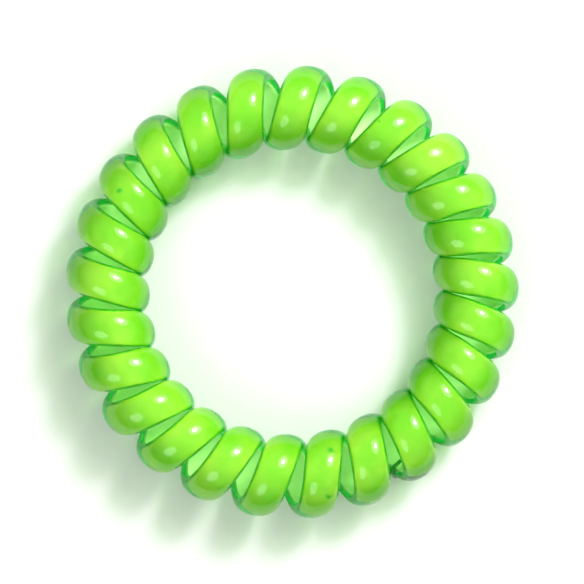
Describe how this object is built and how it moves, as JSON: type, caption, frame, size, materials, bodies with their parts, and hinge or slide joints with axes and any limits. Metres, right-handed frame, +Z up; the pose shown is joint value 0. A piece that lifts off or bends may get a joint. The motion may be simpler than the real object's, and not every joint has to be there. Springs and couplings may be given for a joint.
{
  "type": "elastic coil ring",
  "caption": "Closed ring of a tightly wound clear green elastic coil with a pale lining, its ends welded, that stretches open to pass over a hand or hair.",
  "frame": {"origin": "centre of the ring, on the surface that its lowest bends rest on", "axes": "+Z up along the ring's own axis; +X and +Y in the ring's plane, with the weld at a ring angle of about 301 degrees from +X towards +Y"},
  "size_m": [0.0549, 0.0548, 0.0103],
  "materials": {
    "clear_strand": "clear, glossy, tinted green through its depth",
    "lining": "opaque, matt, pale green",
    "weld": "dark green, glossy, remelted"
  },
  "bodies": {
    "turn_13": {"strand_turn_13": "clear_strand", "lining_turn_13": "lining"},
    "turn_01": {"strand_turn_01": "clear_strand", "lining_turn_01": "lining"},
    "turn_02": {"strand_turn_02": "clear_strand", "lining_turn_02": "lining"},
    "turn_03": {"strand_turn_03": "clear_strand", "lining_turn_03": "lining"},
    "turn_04": {"strand_turn_04": "clear_strand", "lining_turn_04": "lining"},
    "turn_05": {"strand_turn_05": "clear_strand", "lining_turn_05": "lining"},
    "turn_06": {"strand_turn_06": "clear_strand", "lining_turn_06": "lining"},
    "turn_07": {"strand_turn_07": "clear_strand", "lining_turn_07": "lining"},
    "turn_08": {"strand_turn_08": "clear_strand", "lining_turn_08": "lining"},
    "turn_09": {"strand_turn_09": "clear_strand", "lining_turn_09": "lining"},
    "turn_10": {"strand_turn_10": "clear_strand", "lining_turn_10": "lining"},
    "turn_11": {"strand_turn_11": "clear_strand", "lining_turn_11": "lining"},
    "turn_12": {"strand_turn_12": "clear_strand", "lining_turn_12": "lining"},
    "turn_14": {"strand_turn_14": "clear_strand", "lining_turn_14": "lining"},
    "turn_15": {"strand_turn_15": "clear_strand", "lining_turn_15": "lining"},
    "turn_16": {"strand_turn_16": "clear_strand", "lining_turn_16": "lining"},
    "turn_17": {"strand_turn_17": "clear_strand", "lining_turn_17": "lining"},
    "turn_18": {"strand_turn_18": "clear_strand", "lining_turn_18": "lining"},
    "turn_19": {"strand_turn_19": "clear_strand", "lining_turn_19": "lining"},
    "turn_20": {"strand_turn_20": "clear_strand", "lining_turn_20": "lining"},
    "turn_21": {"strand_turn_21": "clear_strand", "lining_turn_21": "lining"},
    "turn_22": {"strand_turn_22": "clear_strand", "lining_turn_22": "lining"},
    "turn_23": {"strand_turn_23": "clear_strand", "lining_turn_23": "lining"},
    "turn_24": {"strand_turn_24": "clear_strand", "lining_turn_24": "lining"},
    "turn_25": {"strand_turn_25": "clear_strand", "lining_turn_25": "lining"},
    "weld_tail": {"strand_tail": "clear_strand", "lining_tail": "lining", "weld_bead": "weld"},
    "weld_head": {"strand_head": "clear_strand", "lining_head": "lining"}
  },
  "joints": [
    {"name": "stretch", "type": "slide", "parent": "turn_13", "child": "turn_14", "axis": [-0.7934, -0.6086, 0], "range_m": [0, 0.00444], "stiffness_N_per_m": 190},
    {"name": "open_14_15", "type": "slide", "parent": "turn_14", "child": "turn_15", "axis": [-0.612, -0.7909, 0], "range_m": [0, 0.00431], "stiffness_N_per_m": 190},
    {"name": "open_15_16", "type": "slide", "parent": "turn_15", "child": "turn_16", "axis": [-0.3971, -0.9178, 0], "range_m": [0, 0.00418], "stiffness_N_per_m": 190},
    {"name": "open_16_17", "type": "slide", "parent": "turn_16", "child": "turn_17", "axis": [-0.164, -0.9865, 0], "range_m": [0, 0.00409], "stiffness_N_per_m": 190},
    {"name": "open_17_18", "type": "slide", "parent": "turn_17", "child": "turn_18", "axis": [0.075, -0.9972, 0], "range_m": [0, 0.00405], "stiffness_N_per_m": 190},
    {"name": "open_18_19", "type": "slide", "parent": "turn_18", "child": "turn_19", "axis": [0.3097, -0.9508, 0], "range_m": [0, 0.00409], "stiffness_N_per_m": 190},
    {"name": "open_19_20", "type": "slide", "parent": "turn_19", "child": "turn_20", "axis": [0.5299, -0.8481, 0], "range_m": [0, 0.00418], "stiffness_N_per_m": 190},
    {"name": "open_20_21", "type": "slide", "parent": "turn_20", "child": "turn_21", "axis": [0.7234, -0.6905, 0], "range_m": [0, 0.00431], "stiffness_N_per_m": 190},
    {"name": "open_21_22", "type": "slide", "parent": "turn_21", "child": "turn_22", "axis": [0.8755, -0.4832, 0], "range_m": [0, 0.00444], "stiffness_N_per_m": 190},
    {"name": "open_22_23", "type": "slide", "parent": "turn_22", "child": "turn_23", "axis": [0.9714, -0.2374, 0], "range_m": [0, 0.00453], "stiffness_N_per_m": 190},
    {"name": "open_23_24", "type": "slide", "parent": "turn_23", "child": "turn_24", "axis": [0.9996, 0.0286, 0], "range_m": [0, 0.00457], "stiffness_N_per_m": 190},
    {"name": "open_24_25", "type": "slide", "parent": "turn_24", "child": "turn_25", "axis": [0.9563, 0.2924, 0], "range_m": [0, 0.00453], "stiffness_N_per_m": 190},
    {"name": "open_13_12", "type": "slide", "parent": "turn_13", "child": "turn_12", "axis": [0.925, 0.38, 0], "range_m": [0, 0.00453], "stiffness_N_per_m": 190},
    {"name": "open_12_11", "type": "slide", "parent": "turn_12", "child": "turn_11", "axis": [0.9926, 0.1212, 0], "range_m": [0, 0.00457], "stiffness_N_per_m": 190},
    {"name": "open_11_10", "type": "slide", "parent": "turn_11", "child": "turn_10", "axis": [0.9893, -0.1461, 0], "range_m": [0, 0.00453], "stiffness_N_per_m": 190},
    {"name": "open_10_09", "type": "slide", "parent": "turn_10", "child": "turn_09", "axis": [0.917, -0.3989, 0], "range_m": [0, 0.00442], "stiffness_N_per_m": 190},
    {"name": "open_09_08", "type": "slide", "parent": "turn_09", "child": "turn_08", "axis": [0.7862, -0.618, 0], "range_m": [0, 0.00426], "stiffness_N_per_m": 190},
    {"name": "open_08_07", "type": "slide", "parent": "turn_08", "child": "turn_07", "axis": [0.6117, -0.7911, 0], "range_m": [0, 0.0041], "stiffness_N_per_m": 190},
    {"name": "open_07_06", "type": "slide", "parent": "turn_07", "child": "turn_06", "axis": [0.4084, -0.9128, 0], "range_m": [0, 0.00396], "stiffness_N_per_m": 190},
    {"name": "open_06_05", "type": "slide", "parent": "turn_06", "child": "turn_05", "axis": [0.1884, -0.9821, 0], "range_m": [0, 0.00388], "stiffness_N_per_m": 190},
    {"name": "open_05_04", "type": "slide", "parent": "turn_05", "child": "turn_04", "axis": [-0.0394, -0.9992, 0], "range_m": [0, 0.00388], "stiffness_N_per_m": 190},
    {"name": "open_04_03", "type": "slide", "parent": "turn_04", "child": "turn_03", "axis": [-0.2673, -0.9636, 0], "range_m": [0, 0.00396], "stiffness_N_per_m": 190},
    {"name": "open_03_02", "type": "slide", "parent": "turn_03", "child": "turn_02", "axis": [-0.4865, -0.8737, 0], "range_m": [0, 0.0041], "stiffness_N_per_m": 190},
    {"name": "open_02_01", "type": "slide", "parent": "turn_02", "child": "turn_01", "axis": [-0.685, -0.7286, 0], "range_m": [0, 0.00426], "stiffness_N_per_m": 190},
    {"name": "open_tail", "type": "slide", "parent": "turn_25", "child": "weld_tail", "axis": [0.8471, 0.5315, 0], "range_m": [0, 0.00221], "stiffness_N_per_m": 380},
    {"name": "open_head", "type": "slide", "parent": "turn_01", "child": "weld_head", "axis": [-0.8471, -0.5315, 0], "range_m": [0, 0.00221], "stiffness_N_per_m": 380}
  ],
  "couplings": [
    {"joint": "open_14_15", "follows": "stretch", "ratio": 0.97081},
    {"joint": "open_15_16", "follows": "stretch", "ratio": 0.94175},
    {"joint": "open_16_17", "follows": "stretch", "ratio": 0.92055},
    {"joint": "open_17_18", "follows": "stretch", "ratio": 0.9128},
    {"joint": "open_18_19", "follows": "stretch", "ratio": 0.92055},
    {"joint": "open_19_20", "follows": "stretch", "ratio": 0.94175},
    {"joint": "open_20_21", "follows": "stretch", "ratio": 0.97081},
    {"joint": "open_21_22", "follows": "stretch", "ratio": 1},
    {"joint": "open_22_23", "follows": "stretch", "ratio": 1.0214},
    {"joint": "open_23_24", "follows": "stretch", "ratio": 1.0288},
    {"joint": "open_24_25", "follows": "stretch", "ratio": 1.0196},
    {"joint": "open_13_12", "follows": "stretch", "ratio": 1.0214},
    {"joint": "open_12_11", "follows": "stretch", "ratio": 1.0288},
    {"joint": "open_11_10", "follows": "stretch", "ratio": 1.0196},
    {"joint": "open_10_09", "follows": "stretch", "ratio": 0.99513},
    {"joint": "open_09_08", "follows": "stretch", "ratio": 0.96047},
    {"joint": "open_08_07", "follows": "stretch", "ratio": 0.92345},
    {"joint": "open_07_06", "follows": "stretch", "ratio": 0.8926},
    {"joint": "open_06_05", "follows": "stretch", "ratio": 0.87513},
    {"joint": "open_05_04", "follows": "stretch", "ratio": 0.87513},
    {"joint": "open_04_03", "follows": "stretch", "ratio": 0.8926},
    {"joint": "open_03_02", "follows": "stretch", "ratio": 0.92345},
    {"joint": "open_02_01", "follows": "stretch", "ratio": 0.96047},
    {"joint": "open_tail", "follows": "stretch", "ratio": 0.49756},
    {"joint": "open_head", "follows": "stretch", "ratio": 0.49756}
  ]
}
